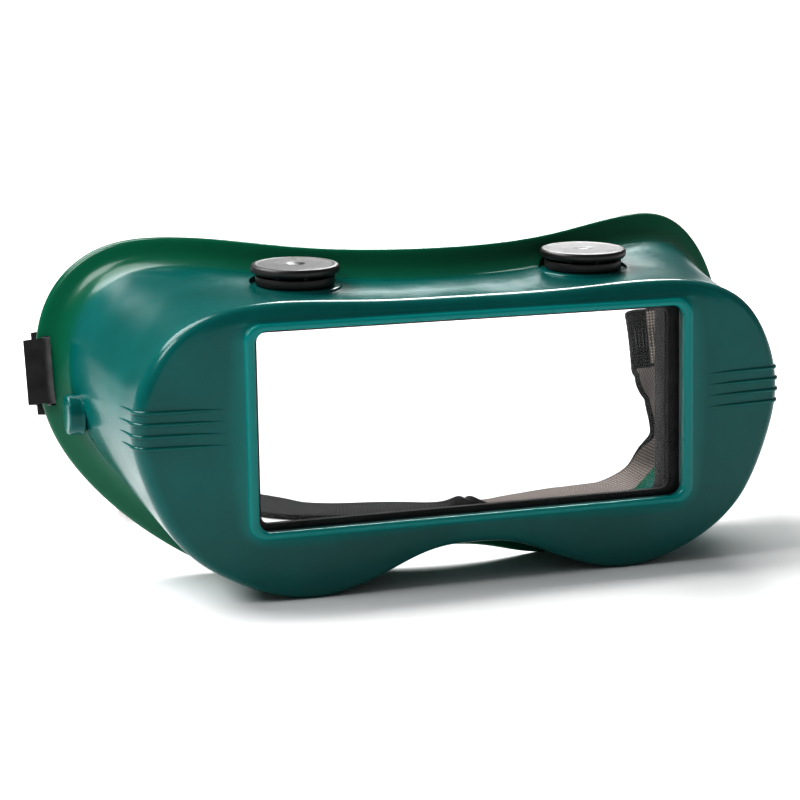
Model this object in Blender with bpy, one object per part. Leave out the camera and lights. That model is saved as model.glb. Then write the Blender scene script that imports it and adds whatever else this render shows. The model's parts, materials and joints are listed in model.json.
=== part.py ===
"""Gas-welding goggles with a fixed 50 x 108 mm window.

One soft PVC frame, a black lens holder with two clear plates, two mushroom
vents, two hooked strap clips and an elastic headband with a slide adjuster.
Working units are millimetres in the goggles' own axes (X right, Y back from
the window's front plane, Z up from the surface they stand on); put() turns
them into metres about the centre of the whole object's footprint.
"""
import bpy
import bmesh
import numpy as np
from math import pi, sin, cos, radians
from mathutils import Matrix, Vector

# ---------------------------------------------------------------- driving sizes, mm
MM = 0.001
GAP = 0.3                       # air left between touching pieces

PLATE_W, PLATE_H = 108.0, 50.0  # standard welding plate
PLATE_T = 2.0
WINDOW_W, WINDOW_H = 105.5, 46.0
WINDOW_R = 3.0                  # corner radius of the window
BEAD_W, BEAD_H = 110.2, 49.2    # outer edge of the raised bead
WINDOW_Z = 39.6                 # window centre above the surface
LIP_BACK = 2.6                  # rear face of the lip that stops the plates

HOLDER_W, HOLDER_H = 112.0, 52.0
HOLDER_FRONT = LIP_BACK + GAP
HOLDER_RAIL_BACK = 12.0
HOLDER_CHEEK_BACK = 16.5
HOLDER_OPEN_W, HOLDER_OPEN_H = 104.4, 48.9
REBATE_BACK = 9.9
GASKET_T = 1.6
GASKET_OPEN_W, GASKET_OPEN_H = 102.0, 44.0

FACE_Y = 1.3                    # front face of the moulding round the bead
WALL_T = 2.0
FLANGE_W = 5.0                  # width of the face flange
FLANGE_T = 2.2
FLANGE_Y0 = 18.5                # flange depth at the nose
FRAME_N = 72                    # points round each ring of the moulding

VENT_X, VENT_Y = 36.4, 23.0
COLLAR_R, COLLAR_TOP = 11.0, 70.0
VENT_HOLE_R = 8.4
VENT_TILT = radians(3.5)        # the vents lean towards the front
CAP_R, WAIST_R = 10.4, 9.3

CLIP_Z = 48.0                   # middle of the strap clips
CLIP_LEN = 15.6
CLIP_EDGE = 0.9                 # from the flange's edge in to the middle of the slot bar
SLOT_LEN = 16.8

BAND_W, BAND_T = 16.0, 1.5
SLIDE_X = -44.0                 # the slide adjuster, on the flat run behind the frame
LOOP_TAIL = 12.0
BAND_BREAK = 0.5                # half the break between two stretches of the band
BAND_STEP = 1.5                 # length of one section of the band
ROD_OUT, ROD_BACK, ROD_R = 1.6, 9.6, 1.0  # the clip's rod for the band, from the slot bar
SLIDE_Y = 114.9
SLIDE_LOW, SLIDE_HIGH = 2.1, 3.7
SLIDE_LEN = 15.0
STUD_X, STUD_Y, STUD_Z = 83.0, 47.0, 39.0
STUD_R, STUD_LEN = 4.8, 3.8

Y_MID = 62.6                    # middle of the footprint, from the window's front plane

# outlines, right half from top middle to bottom middle, about the window's centre
FRONT_OUTLINE = [(0, 28.0), (25, 28.3), (50, 29.0), (62, 27.1), (71.0, 22.3),
                 (77.8, 12.5), (80.2, 1.0), (77.5, -11.4), (69.8, -25.8), (56, -35.6),
                 (38, -39.9), (20, -35.0), (9, -31.0), (0, -30.3)]
FLANGE_OUTLINE = [(0, 36.8), (32, 37.9), (60, 40.4), (75, 38.0), (85.7, 29.0),
                  (91.3, 10.0), (88.6, -6.0), (80, -19.5), (65, -32.5), (52.3, -38.8),
                  (40.5, -40.4), (29, -40.0), (20, -38.6), (11, -36.3), (0, -35.0)]

# headband route: middle line and direction of the band's width
BAND_ROUTE = [((-78.6, 76.1, 43.4), (0, 0.24, 0.97)),
              ((-72.8, 83.9, 41.5), (-0.1, 0.26, 0.95)),
              ((-68.5, 94, 28), (-0.5, 0.42, 0.75)),
              ((-64, 104, 11), (-0.5, 0.75, 0.4)),
              ((-57, 113, 1.8), (-0.2, 0.95, 0.05)),
              ((-50, 114.7, 0.9), (0, 1, 0)),
              ((-38, 115.1, 0.9), (0, 1, 0)),
              ((-31, 114.0, 0.9), (0.1, 1, 0)),
              ((-24, 104, 0.9), (0.6, 0.6, 0)),
              ((-19, 94, 0.9), (0.7, 0.6, 0)),
              ((-10, 87.5, 0.9), (0.35, 0.95, 0)),
              ((4, 83.2, 0.9), (0.2, 1, 0)),
              ((14, 79, 0.9), (0.2, 1, 0)),
              ((24, 76.5, 0.9), (0, 1, 0)),
              ((37, 76.5, 0.9), (-0.1, 1, 0)),
              ((56, 81.5, 0.9), (-0.2, 1, 0)),
              ((72, 84, 1.0), (0, 1, 0.02)),
              ((82, 85.5, 4.5), (0.2, 0.9, 0.25)),
              ((87.5, 88, 14), (0.3, 0.6, 0.6)),
              ((86, 89.5, 27), (0.1, 0.4, 0.85)),
              ((80.5, 87, 37), (0, 0.3, 0.95)),
              ((75.7, 80.2, 42.4), (0, 0.24, 0.97)),
              ((78.6, 76.1, 43.4), (0, 0.24, 0.97))]
LEFT_STRETCH, RIGHT_STRETCH = 5, 6  # route points in the two side stretches of the band


# ---------------------------------------------------------------- helpers
def put(points):
    """Millimetres in the goggles' axes to metres in the part's frame."""
    p = np.asarray(points, float)
    return (p - np.array([0.0, Y_MID, 0.0])) * MM


def material(name, colour, roughness, metallic=0.0, alpha=1.0):
    mat = bpy.data.materials.new(name)
    mat.use_nodes = True
    shader = mat.node_tree.nodes["Principled BSDF"]
    shader.inputs["Base Color"].default_value = (*colour, 1.0)
    shader.inputs["Roughness"].default_value = roughness
    shader.inputs["Metallic"].default_value = metallic
    shader.inputs["Alpha"].default_value = alpha
    return mat


def add_object(name, verts_mm, faces, mat=None, smooth_deg=None):
    """A mesh object from millimetre points, with its faces turned outwards."""
    mesh = bpy.data.meshes.new(name)
    mesh.from_pydata([tuple(v) for v in put(verts_mm)], [], faces)
    bm = bmesh.new()
    bm.from_mesh(mesh)
    bmesh.ops.recalc_face_normals(bm, faces=bm.faces)
    bm.to_mesh(mesh)
    bm.free()
    obj = bpy.data.objects.new(name, mesh)
    bpy.context.scene.collection.objects.link(obj)
    if mat:
        mesh.materials.append(mat)
    if smooth_deg:
        mesh.shade_smooth()
        mesh.set_sharp_from_angle(angle=radians(smooth_deg))
    return obj


def loft(rings, closed):
    """Quads between rings of equal length; the last meets the first when closed."""
    n = len(rings[0])
    verts = np.concatenate(rings)
    count = len(rings)
    faces = []
    for k in range(count if closed else count - 1):
        a, b = k * n, ((k + 1) % count) * n
        for i in range(n):
            j = (i + 1) % n
            faces.append((a + i, a + j, b + j, b + i))
    if not closed:
        faces.append(tuple(range(n)))
        faces.append(tuple((count - 1) * n + i for i in reversed(range(n))))
    return verts, faces


def as_cutter(obj):
    obj.hide_render = True
    obj.display_type = "WIRE"
    return obj


def combine(obj, other, operation):
    mod = obj.modifiers.new(operation.lower() + "_" + other.name, "BOOLEAN")
    mod.operation = operation
    mod.solver = "EXACT"
    mod.object = as_cutter(other)


def box_points(lo, hi):
    return [(x, y, z) for x in (lo[0], hi[0]) for y in (lo[1], hi[1]) for z in (lo[2], hi[2])]


BOX_FACES = [(0, 1, 3, 2), (4, 6, 7, 5), (0, 4, 5, 1), (2, 3, 7, 6), (0, 2, 6, 4), (1, 5, 7, 3)]


def rounded_rect(width, height, radius, n=FRAME_N):
    """n points round a rounded rectangle, from the bottom middle, turning through +X."""
    corner, side = n // 16, n // 9
    half = (n - 4 * corner - 2 * side) // 4
    hw, hh = width / 2, height / 2
    pts = [((hw - radius) * i / half, -hh) for i in range(half)]
    for cx, cz, start, edge in ((1, -1, -90, side), (1, 1, 0, 2 * half),
                                (-1, 1, 90, side), (-1, -1, 180, half)):
        for i in range(corner):
            a = radians(start + 90 * i / corner)
            pts.append((cx * (hw - radius) + radius * cos(a),
                        cz * (hh - radius) + radius * sin(a)))
        a = radians(start + 90)
        begin = np.array([cx * (hw - radius) + radius * cos(a),
                          cz * (hh - radius) + radius * sin(a)])
        along = np.array([-sin(a), cos(a)])
        length = {side: height - 2 * radius, 2 * half: width - 2 * radius, half: hw - radius}[edge]
        pts += [tuple(begin + along * length * i / edge) for i in range(edge)]
    return np.array(pts)


def closed_spline(t, values, at, period):
    """Periodic cubic spline through values at t, read at the places in at."""
    n = len(t)
    h = np.diff(np.append(t, t[0] + period))
    step = (np.roll(values, -1, axis=0) - values) / h[:, None]
    system = np.zeros((n, n))
    for i in range(n):
        system[i, i - 1] += h[i - 1]
        system[i, i] += 2 * (h[i - 1] + h[i])
        system[i, (i + 1) % n] += h[i]
    bend = np.linalg.solve(system, 6 * (step - np.roll(step, 1, axis=0)))
    at = (np.asarray(at) - t[0]) % period + t[0]
    k = np.searchsorted(t, at, side="right") - 1
    u, v = at - t[k], t[k] + h[k] - at
    nxt = (k + 1) % n
    hk = h[k]
    return (bend[k].T * v ** 3 / (6 * hk) + bend[nxt].T * u ** 3 / (6 * hk)
            + (values[k].T / hk - bend[k].T * hk / 6) * v
            + (values[nxt].T / hk - bend[nxt].T * hk / 6) * u).T


def outline_ring(half_points, n=FRAME_N):
    """n points round a mirrored outline from the bottom middle, evenly spaced."""
    right = np.array(half_points, float)[::-1]
    left = right[-2:0:-1] * (-1, 1)
    loop = np.concatenate([right, left])
    chord = np.linalg.norm(np.diff(np.append(loop, loop[:1], axis=0), axis=0), axis=1)
    t = np.concatenate([[0], np.cumsum(chord)])
    dense_t = np.linspace(0, t[-1], 2001)
    dense = closed_spline(t[:-1], loop, dense_t, t[-1])
    length = np.concatenate([[0], np.cumsum(np.linalg.norm(np.diff(dense, axis=0), axis=1))])
    even = np.linspace(0, length[-1], n, endpoint=False)
    at = np.interp(even, length, dense_t)
    return closed_spline(t[:-1], loop, at, t[-1])


def ring_normals(ring):
    """Outward unit normals of a closed ring that turns through +X from the bottom."""
    along = np.roll(ring, -1, axis=0) - np.roll(ring, 1, axis=0)
    normal = np.stack([along[:, 1], -along[:, 0]], axis=1)
    return normal / np.linalg.norm(normal, axis=1)[:, None]


def inset(ring, distance):
    return ring - ring_normals(ring) * np.reshape(distance, (-1, 1))


def flange_y(x, z):
    """Depth of the face flange's middle surface: it follows the cheeks and brow."""
    curve = 0.12 * (np.sqrt(x ** 2 + 100) - 10) + x ** 2 / 290
    lean = 0.105 * z + 0.195 * (np.sqrt(z ** 2 + 64) - 8)
    nose = 2.6 * np.exp(-(x / 18) ** 2) * (0.5 - 0.5 * np.tanh(z / 12))
    return FLANGE_Y0 + curve + lean + nose


def in_space(ring, y):
    """A ring about the window's centre placed at depth y, on the standing surface's axes."""
    y = np.broadcast_to(y, (len(ring),))
    return np.stack([ring[:, 0], y, ring[:, 1] + WINDOW_Z], axis=1)


def lathe(name, profile, axis_frame, mat=None, n=24):
    """Turn a (radius, height) profile about the frame's Z axis; it closes on itself
    unless it starts and ends on the axis."""
    on_axis = profile[0][0] == 0
    turned = profile[1:-1] if on_axis else profile
    rings = []
    for r, h in turned:
        rings.append(np.array([axis_frame @ Vector((r * cos(a), r * sin(a), h))
                               for a in np.linspace(0, 2 * pi, n, endpoint=False)]))
    verts, faces = loft(rings, closed=not on_axis)
    if on_axis:
        faces = faces[:-2]
        last = (len(rings) - 1) * n
        poles = [axis_frame @ Vector((0, 0, profile[k][1])) for k in (0, -1)]
        verts = np.concatenate([verts, np.array(poles)])
        for i in range(n):
            j = (i + 1) % n
            faces.append((len(verts) - 2, j, i))
            faces.append((len(verts) - 1, last + i, last + j))
    return add_object(name, verts, faces, mat, smooth_deg=35)


def tube_solid(name, radius, low, high, axis_frame, n=24):
    """A plain round bar along the frame's Z axis."""
    rings = []
    for h in (low, high):
        rings.append(np.array([axis_frame @ Vector((radius * cos(a), radius * sin(a), h))
                               for a in np.linspace(0, 2 * pi, n, endpoint=False)]))
    verts, faces = loft(rings, closed=False)
    return add_object(name, verts, faces)


def framed_box(name, lo, hi, frame, mat=None):
    pts = [frame @ Vector(p) for p in box_points(lo, hi)]
    return add_object(name, pts, BOX_FACES, mat)


# ---------------------------------------------------------------- the moulded frame
def temple_frame(side):
    """Axes at a strap clip: X out along the flange, Y back from it, Z up its edge."""
    z_rel = CLIP_Z - WINDOW_Z
    x = 91.3 - CLIP_EDGE
    slope_x = 0.12 * x / (x ** 2 + 100) ** 0.5 + 2 * x / 290
    slope_z = 0.105 + 0.195 * z_rel / (z_rel ** 2 + 64) ** 0.5
    up = Vector((0, slope_z, 1)).normalized()
    out = Vector((1, slope_x, 0)).normalized()
    back = up.cross(out).normalized()
    out = back.cross(up)
    origin = Vector((x, float(flange_y(x, z_rel)), CLIP_Z))
    frame = Matrix((out, back, up)).transposed().to_4x4()
    frame.translation = origin
    if side < 0:
        frame = Matrix.Diagonal((-1, 1, 1, 1)) @ frame
    return frame


def vent_frame(side):
    """Axes of a vent: origin at the middle of its collar's top, Z along its axis."""
    return Matrix.Translation((side * VENT_X, VENT_Y, COLLAR_TOP)) @ Matrix.Rotation(VENT_TILT, 4, "X")


def frame_rings():
    """Rings of the moulding's section: bead, face, wall and flange, then back inside."""
    outline = outline_ring(FRONT_OUTLINE)
    flange = outline_ring(FLANGE_OUTLINE)
    sideways = ring_normals(outline)[:, 0] ** 2
    nose = np.exp(-(outline[:, 0] / 17) ** 2) * (outline[:, 1] < 0)
    edge = inset(outline, 2.0 + 1.5 * sideways)
    edge_y = 1.7 + 1.3 * sideways
    equator_y = 4.5 + 3.5 * sideways

    rings = [in_space(rounded_rect(WINDOW_W, WINDOW_H, WINDOW_R), 3.6),
             in_space(rounded_rect(WINDOW_W, WINDOW_H, WINDOW_R), 0.5),
             in_space(rounded_rect(WINDOW_W + 1, WINDOW_H + 1, WINDOW_R), 0.0),
             in_space(rounded_rect(BEAD_W - 1, BEAD_H - 1, WINDOW_R + 0.6), 0.0),
             in_space(rounded_rect(BEAD_W, BEAD_H, WINDOW_R + 1), 0.5),
             in_space(rounded_rect(BEAD_W + 0.4, BEAD_H + 0.4, WINDOW_R + 1), FACE_Y)]
    foot = rounded_rect(BEAD_W + 0.4, BEAD_H + 0.4, WINDOW_R + 1)
    rings.append(in_space((foot + edge) / 2, FACE_Y + 0.1))
    for a in np.radians([0, 30, 60, 90]):
        ring = edge + (outline - edge) * sin(a)
        rings.append(in_space(ring, equator_y - (equator_y - edge_y) * cos(a)))

    def flange_ring(distance, offset):
        ring = inset(flange, distance)
        return in_space(ring, flange_y(ring[:, 0], ring[:, 1]) + offset)

    root = flange_ring(FLANGE_W + 1.6, -FLANGE_T / 2 - 2.4)
    start = rings[-1]
    lift = 1.3 + 2.3 * nose
    for t in (0.25, 0.5, 0.75, 1.0):
        ring = start + (root - start) * (t ** lift)[:, None]
        ring[:, 1] = start[:, 1] + (root[:, 1] - start[:, 1]) * t
        rings.append(ring)
    wall = rings[-5:]
    rings += [flange_ring(FLANGE_W, -FLANGE_T / 2 - 0.7),
              flange_ring(FLANGE_W - 1.2, -FLANGE_T / 2),
              flange_ring(0.5, -FLANGE_T / 2),
              flange_ring(0.0, 0.0),
              flange_ring(0.5, FLANGE_T / 2),
              flange_ring(FLANGE_W + 2.2, FLANGE_T / 2),
              flange_ring(FLANGE_W + 3.4, FLANGE_T / 2 - 1.4)]
    for outer in reversed(wall[:-1]):
        ring = inset(outer[:, [0, 2]], WALL_T)
        rings.append(np.stack([ring[:, 0], outer[:, 1] + 0.3, ring[:, 1]], axis=1))
    inner_edge = inset(outline, 3.4 + 1.5 * sideways)
    rings.append(in_space(inner_edge, edge_y + 2.2))
    rings.append(in_space(rounded_rect(BEAD_W, BEAD_H, WINDOW_R), 3.9))
    return rings


def build_frame(pvc):
    verts, faces = loft(frame_rings(), closed=True)
    frame = add_object("frame", verts, faces, pvc, smooth_deg=50)

    pocket_rib = [(-58.3, 3.0, WINDOW_Z - 29.1), (58.3, 9.6, WINDOW_Z + 27.1)]
    combine(frame, add_object("guide_pocket_rib", box_points(*pocket_rib), BOX_FACES), "UNION")
    clear = HOLDER_W / 2 + GAP, HOLDER_H / 2 + GAP
    pocket = [(-clear[0], LIP_BACK, WINDOW_Z - clear[1]),
              (clear[0], HOLDER_RAIL_BACK + 2 * GAP, WINDOW_Z + clear[1])]
    for side, tag in ((-1, "left"), (1, "right")):
        room = tube_solid("guide_cap_room_" + tag, COLLAR_R - 0.3, -0.5, 9.0, vent_frame(side), n=32)
        combine(frame, room, "DIFFERENCE")
        collar = tube_solid("guide_collar_" + tag, COLLAR_R, -4.6, 0.0, vent_frame(side), n=32)
        combine(frame, collar, "UNION")
    combine(frame, add_object("guide_pocket", box_points(*pocket), BOX_FACES), "DIFFERENCE")
    for side, tag in ((-1, "left"), (1, "right")):
        hole = tube_solid("guide_vent_hole_" + tag, VENT_HOLE_R, -12.0, 3.0, vent_frame(side))
        combine(frame, hole, "DIFFERENCE")
        slot = framed_box("guide_slot_" + tag, (-3.6, -5.0, -SLOT_LEN / 2),
                          (-1.15, 5.0, SLOT_LEN / 2), temple_frame(side))
        combine(frame, slot, "DIFFERENCE")
        stud_axis = Matrix.Translation((side * STUD_X, STUD_Y, STUD_Z)) @ Matrix.Rotation(
            side * radians(90), 4, "Y")
        stud = tube_solid("guide_stud_" + tag, STUD_R, 0.0, STUD_LEN, stud_axis, n=20)
        combine(frame, stud, "UNION")
    below = add_object("guide_below", box_points((-80, -5, -6), (80, 70, 0)), BOX_FACES)
    combine(frame, below, "DIFFERENCE")
    return frame


# ---------------------------------------------------------------- window pieces
def ring_solid(name, outer, inner, y0, y1, mat):
    """A flat rectangular ring between two depths; outer and inner are (w, h, r)."""
    n = 72
    o, i = rounded_rect(*outer, n), rounded_rect(*inner, n)
    rings = [in_space(o, y0), in_space(o, y1), in_space(i, y1), in_space(i, y0)]
    verts, faces = loft(rings, closed=True)
    return add_object(name, verts, faces, mat)


def plate_solid(name, y0, y1, mat):
    """A clear plate with its sharp edges taken off."""
    c = 0.3
    big, small = (PLATE_W, PLATE_H, 1.2), (PLATE_W - 2 * c, PLATE_H - 2 * c, 1.0)
    rings = [in_space(rounded_rect(*size, 36), y) for size, y in
             ((small, y0), (big, y0 + c), (big, y1 - c), (small, y1))]
    verts, faces = loft(rings, closed=False)
    return add_object(name, verts, faces, mat)


def build_window(clear, black, rubber):
    front_y = HOLDER_FRONT + GAP
    gasket_y = front_y + PLATE_T + GAP
    rear_y = gasket_y + GASKET_T + GAP
    plate_solid("cover_plate_front", front_y, front_y + PLATE_T, clear)
    ring_solid("spacer_gasket", (PLATE_W, PLATE_H, 1.2), (GASKET_OPEN_W, GASKET_OPEN_H, 2.0),
               gasket_y, gasket_y + GASKET_T, rubber)
    plate_solid("cover_plate_rear", rear_y, rear_y + PLATE_T, clear)

    rebate = (PLATE_W + 0.4, PLATE_H + 0.4, 1.2)
    opening = (HOLDER_OPEN_W, HOLDER_OPEN_H, 2.5)
    n = 72
    o = rounded_rect(HOLDER_W, HOLDER_H, 2.0, n)
    r = rounded_rect(*rebate, n)
    i = rounded_rect(*opening, n)
    cheek = np.clip((np.abs(i[:, 0]) - 44.0) / 6.0, 0, 1)
    back = HOLDER_RAIL_BACK + (HOLDER_CHEEK_BACK - HOLDER_RAIL_BACK) * cheek ** 2 * (3 - 2 * cheek)
    rings = [in_space(o, HOLDER_FRONT), in_space(o, back), in_space(i, back),
             in_space(i, REBATE_BACK), in_space(r, REBATE_BACK), in_space(r, HOLDER_FRONT)]
    verts, faces = loft(rings, closed=True)
    add_object("lens_holder", verts, faces, black)


# ---------------------------------------------------------------- vents
def build_vent(side, tag, black):
    axes = vent_frame(side)
    lathe("vent_body_" + tag,
          [(6.2, -6.6), (6.2, 2.3), (WAIST_R, 2.3), (WAIST_R, GAP), (8.1, GAP),
           (8.1, -5.0), (9.5, -5.2), (9.5, -6.0), (8.6, -6.6)], axes, black)
    spokes = framed_box("guide_spokes_" + tag, (-6.6, -1.1, -1.2), (6.6, 1.1, 0.8), axes)
    body = bpy.data.objects["vent_body_" + tag]
    combine(body, spokes, "UNION")
    hub = tube_solid("guide_hub_" + tag, 3.6, -1.5, 1.1, axes, n=16)
    combine(body, hub, "UNION")
    hub_hole = tube_solid("guide_hub_hole_" + tag, 2.3, -3.0, 2.0, axes, n=16)
    combine(body, hub_hole, "DIFFERENCE")
    lathe("vent_cap_" + tag,
          [(0, 4.7), (2.0, 4.75), (3.0, 5.0), (CAP_R - 0.7, 5.0), (CAP_R, 4.4), (CAP_R, 3.4),
           (CAP_R - 0.4, 2.9), (2.0, 2.9), (2.0, -2.6), (0, -2.6)], axes, black)
    lathe("vent_baffle_" + tag,
          [(0, -2.9), (5.6, -2.9), (5.6, -4.1), (0, -4.1)], axes, black)


# ---------------------------------------------------------------- strap clips and band
def build_clip(side, tag, nylon):
    """A hook round the flange's edge bar, with a two-armed loop behind for the band."""
    frame = temple_frame(side)
    h = CLIP_LEN / 2
    clip = framed_box("strap_clip_" + tag, (-2.6, -2.7, -h), (2.6, 2.7, h), frame, nylon)
    bore = framed_box("guide_clip_bore_" + tag, (-1.6, -1.7, -20), (1.6, 1.7, 20), frame)
    combine(clip, bore, "DIFFERENCE")
    mouth = framed_box("guide_clip_mouth_" + tag, (-4.0, 1.6, -20), (-0.5, 3.6, 20), frame)
    combine(clip, mouth, "DIFFERENCE")
    bar = BAND_W / 2 + 0.5
    arm = bar + 1.5
    back = framed_box("guide_clip_back_" + tag, (0.0, 2.1, -arm), (2.7, 4.6, arm), frame)
    combine(clip, back, "UNION")
    for sign in (-1, 1):
        low, high = sorted((sign * bar, sign * arm))
        reach = framed_box("guide_clip_arm_%s_%d" % (tag, sign),
                           (0.5, 2.6, low), (2.7, 11.0, high), frame)
        combine(clip, reach, "UNION")
    axis = frame @ Matrix.Translation((ROD_OUT, ROD_BACK, 0))
    rod = tube_solid("guide_clip_rod_" + tag, ROD_R, GAP - arm, arm - GAP, axis, n=12)
    combine(clip, rod, "UNION")

    t = BAND_T
    r_out = ROD_R + GAP + t
    outline = [(r_out * cos(a), r_out * sin(a)) for a in np.radians(np.arange(-180, 1, 30))]
    outline += [(t + 0.1, 2.4), (t + 0.1, LOOP_TAIL), (-t - 0.1, LOOP_TAIL), (-t - 0.1, 2.4)]
    rings = []
    for z in (-BAND_W / 2, BAND_W / 2):
        rings.append(np.array([axis @ Vector((x, y, z)) for x, y in outline]))
    verts, faces = loft(rings, closed=False)
    loop = add_object("strap_loop_" + tag, verts, faces, bpy.data.materials["band_elastic"])
    hole = tube_solid("guide_loop_hole_" + tag, ROD_R + GAP, -12, 12, axis, n=12)
    combine(loop, hole, "DIFFERENCE")


def route_sections(first, last):
    """Middle line, width and thickness directions of the band between two route points."""
    pos = np.array([p for p, w in BAND_ROUTE], float)
    wide = np.array([w for p, w in BAND_ROUTE], float)
    chord = np.concatenate([[0], np.cumsum(np.linalg.norm(np.diff(pos, axis=0), axis=1) ** 0.5)])
    tangents = np.gradient(pos, chord, axis=0)
    turns = np.gradient(wide, chord, axis=0)

    def read(values, slopes, at):
        k = np.clip(np.searchsorted(chord, at, side="right") - 1, 0, len(chord) - 2)
        h = (chord[k + 1] - chord[k])[:, None]
        u = ((at - chord[k]) / h[:, 0])[:, None]
        return ((2 * u ** 3 - 3 * u ** 2 + 1) * values[k]
                + (u ** 3 - 2 * u ** 2 + u) * h * slopes[k]
                + (3 * u ** 2 - 2 * u ** 3) * values[k + 1]
                + (u ** 3 - u ** 2) * h * slopes[k + 1])

    dense = np.linspace(chord[first], chord[last], 1500)
    line = read(pos, tangents, dense)
    length = np.concatenate([[0], np.cumsum(np.linalg.norm(np.diff(line, axis=0), axis=1))])
    count = int(round(length[-1] / BAND_STEP))
    at = np.interp(np.linspace(0, length[-1], count + 1), length, dense)
    line, width = read(pos, tangents, at), read(wide, turns, at)
    over = np.clip(1 - np.abs(line[:, 0] - SLIDE_X) / 4.6, 0, 1) * (line[:, 2] < 3)
    line[:, 2] += 4.0 * (0.5 - 0.5 * np.cos(pi * np.clip(over * 1.6, 0, 1)))
    tangent = np.gradient(line, axis=0)
    tangent /= np.linalg.norm(tangent, axis=1)[:, None]
    width -= tangent * np.sum(width * tangent, axis=1)[:, None]
    width /= np.linalg.norm(width, axis=1)[:, None]
    return line, width, np.cross(tangent, width), tangent


def band_solid(name, first, last, mat, trim):
    """One stretch of the band; trim is how far its two ends stop short."""
    line, width, thick, tangent = route_sections(first, last)
    line[0] += tangent[0] * trim[0]
    line[-1] -= tangent[-1] * trim[1]
    w, t = width * BAND_W / 2, thick * BAND_T / 2
    rings = np.stack([line - w - t, line + w - t, line + w + t, line - w + t], axis=1)
    rings[:, :, 2] = np.maximum(rings[:, :, 2], 0.05)
    verts, faces = loft(list(rings), closed=False)
    return add_object(name, verts, faces, mat)


def build_headband(elastic, nylon):
    last = len(BAND_ROUTE) - 1
    band_solid("headband_left", 0, LEFT_STRETCH, elastic, (0.0, BAND_BREAK))
    band_solid("headband_back", LEFT_STRETCH, last - RIGHT_STRETCH, elastic,
               (BAND_BREAK, BAND_BREAK))
    band_solid("headband_right", last - RIGHT_STRETCH, last, elastic, (BAND_BREAK, 0.0))
    reach = BAND_W / 2 + 0.5
    rim = reach + 1.8
    plate = box_points((SLIDE_X - SLIDE_LEN / 2, SLIDE_Y - rim, SLIDE_LOW),
                       (SLIDE_X + SLIDE_LEN / 2, SLIDE_Y + rim, SLIDE_HIGH))
    slide = add_object("strap_slide", plate, BOX_FACES, nylon)
    for sign in (-1, 1):
        a, b = sorted((SLIDE_X + sign * 1.0, SLIDE_X + sign * 5.4))
        slot = box_points((a, SLIDE_Y - reach, SLIDE_LOW - 2), (b, SLIDE_Y + reach, SLIDE_HIGH + 2))
        cut = add_object("guide_slide_slot_%d" % sign, slot, BOX_FACES)
        combine(slide, cut, "DIFFERENCE")


# ---------------------------------------------------------------- build
for leftover in list(bpy.data.objects):
    bpy.data.objects.remove(leftover, do_unlink=True)

pvc = material("pvc_green", (0.004, 0.095, 0.085), 0.25)
black = material("vent_black", (0.012, 0.012, 0.013), 0.45)
holder_black = material("holder_black", (0.008, 0.008, 0.009), 0.5)
rubber = material("gasket_rubber", (0.02, 0.02, 0.02), 0.7)
clear = material("plate_clear", (0.92, 0.96, 0.95), 0.03, alpha=0.2)
nylon = material("clip_nylon", (0.01, 0.01, 0.011), 0.4)
elastic = material("band_elastic", (0.03, 0.03, 0.032), 0.9)

build_frame(pvc)
build_window(clear, holder_black, rubber)
for side_sign, side_name in ((-1, "left"), (1, "right")):
    build_vent(side_sign, side_name, black)
    build_clip(side_sign, side_name, nylon)
build_headband(elastic, nylon)
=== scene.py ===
import json
import bpy
import bmesh
import numpy as np
from math import pi, sin, cos, radians
from mathutils import Matrix, Vector

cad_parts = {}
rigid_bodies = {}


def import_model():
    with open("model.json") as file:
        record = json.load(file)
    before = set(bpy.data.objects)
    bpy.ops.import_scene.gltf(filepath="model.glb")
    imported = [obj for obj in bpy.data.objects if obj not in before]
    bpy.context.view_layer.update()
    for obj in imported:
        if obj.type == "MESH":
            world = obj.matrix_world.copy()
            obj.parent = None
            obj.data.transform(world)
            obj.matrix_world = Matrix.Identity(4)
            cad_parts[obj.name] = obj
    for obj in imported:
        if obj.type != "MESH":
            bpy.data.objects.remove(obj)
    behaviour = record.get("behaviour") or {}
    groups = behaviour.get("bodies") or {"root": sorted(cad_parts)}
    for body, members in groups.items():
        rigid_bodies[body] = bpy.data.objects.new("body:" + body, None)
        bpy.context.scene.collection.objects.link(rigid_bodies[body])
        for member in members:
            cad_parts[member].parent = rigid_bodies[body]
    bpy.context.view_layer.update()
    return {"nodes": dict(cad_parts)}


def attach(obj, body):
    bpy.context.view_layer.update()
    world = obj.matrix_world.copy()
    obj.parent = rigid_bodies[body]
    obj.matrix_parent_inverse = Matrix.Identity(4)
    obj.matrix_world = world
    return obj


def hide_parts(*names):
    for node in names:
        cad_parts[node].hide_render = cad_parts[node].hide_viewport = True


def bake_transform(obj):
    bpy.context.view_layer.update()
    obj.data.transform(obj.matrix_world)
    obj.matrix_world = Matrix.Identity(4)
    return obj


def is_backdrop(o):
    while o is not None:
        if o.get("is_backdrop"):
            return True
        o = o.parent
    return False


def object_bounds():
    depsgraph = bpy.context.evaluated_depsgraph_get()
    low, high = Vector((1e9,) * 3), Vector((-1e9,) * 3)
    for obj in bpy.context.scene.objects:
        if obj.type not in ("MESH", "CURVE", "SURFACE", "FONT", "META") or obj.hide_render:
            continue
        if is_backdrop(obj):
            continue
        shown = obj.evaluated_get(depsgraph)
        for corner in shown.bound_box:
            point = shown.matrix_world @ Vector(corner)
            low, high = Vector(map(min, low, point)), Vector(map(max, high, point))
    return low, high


for leftover in list(bpy.data.objects):
    bpy.data.objects.remove(leftover, do_unlink=True)
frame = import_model()


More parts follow.
